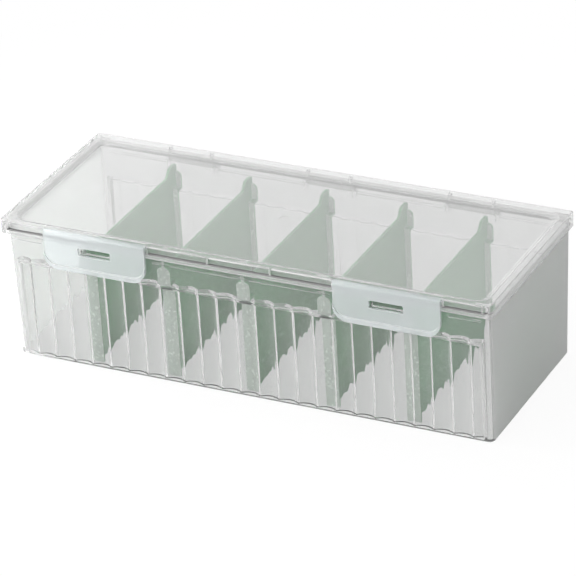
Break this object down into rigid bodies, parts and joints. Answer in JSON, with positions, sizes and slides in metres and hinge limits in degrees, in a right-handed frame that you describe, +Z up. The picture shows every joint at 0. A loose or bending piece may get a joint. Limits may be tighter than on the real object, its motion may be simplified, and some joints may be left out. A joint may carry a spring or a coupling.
{
  "type": "card storage box",
  "caption": "Long translucent plastic card box with a hinged lid, front latch flaps and lift-out green dividers.",
  "frame": {"origin": "middle of the overall footprint, at the underside of the base", "axes": "+X along the length, to the right seen from the latch side; +Y from the latched front to the hinged back; +Z up"},
  "size_m": [0.3, 0.1248, 0.088],
  "materials": {
    "clear_polypropylene": "translucent natural polypropylene, satin moulded",
    "green_polypropylene": "translucent sage green polypropylene, satin moulded"
  },
  "bodies": {
    "box": {"box_body": "clear_polypropylene"},
    "lid": {"lid": "clear_polypropylene"},
    "flap_left": {"latch_flap_left": "clear_polypropylene"},
    "flap_right": {"latch_flap_right": "clear_polypropylene"},
    "card_divider_1": {"divider_1": "green_polypropylene"},
    "card_divider_2": {"divider_2": "green_polypropylene"},
    "card_divider_3": {"divider_3": "green_polypropylene"},
    "card_divider_4": {"divider_4": "green_polypropylene"},
    "card_divider_5": {"divider_5": "green_polypropylene"}
  },
  "joints": [
    {"name": "lid_hinge", "type": "hinge", "parent": "box", "child": "lid", "pos_m": [0, 0.06005, 0.0783], "axis": [-1, 0, 0], "range_deg": [0, 110]},
    {"name": "flap_left_hinge", "type": "hinge", "parent": "lid", "child": "flap_left", "pos_m": [-0.0893, -0.0589, 0.0866], "axis": [-1, 0, 0], "range_deg": [0, 100]},
    {"name": "flap_right_hinge", "type": "hinge", "parent": "lid", "child": "flap_right", "pos_m": [0.0893, -0.0589, 0.0866], "axis": [-1, 0, 0], "range_deg": [0, 100]},
    {"name": "divider_1_lift", "type": "slide", "parent": "box", "child": "card_divider_1", "axis": [0, 0, 1], "range_m": [0, 0.006]},
    {"name": "divider_2_lift", "type": "slide", "parent": "box", "child": "card_divider_2", "axis": [0, 0, 1], "range_m": [0, 0.006]},
    {"name": "divider_3_lift", "type": "slide", "parent": "box", "child": "card_divider_3", "axis": [0, 0, 1], "range_m": [0, 0.006]},
    {"name": "divider_4_lift", "type": "slide", "parent": "box", "child": "card_divider_4", "axis": [0, 0, 1], "range_m": [0, 0.006]},
    {"name": "divider_5_lift", "type": "slide", "parent": "box", "child": "card_divider_5", "axis": [0, 0, 1], "range_m": [0, 0.006]}
  ]
}
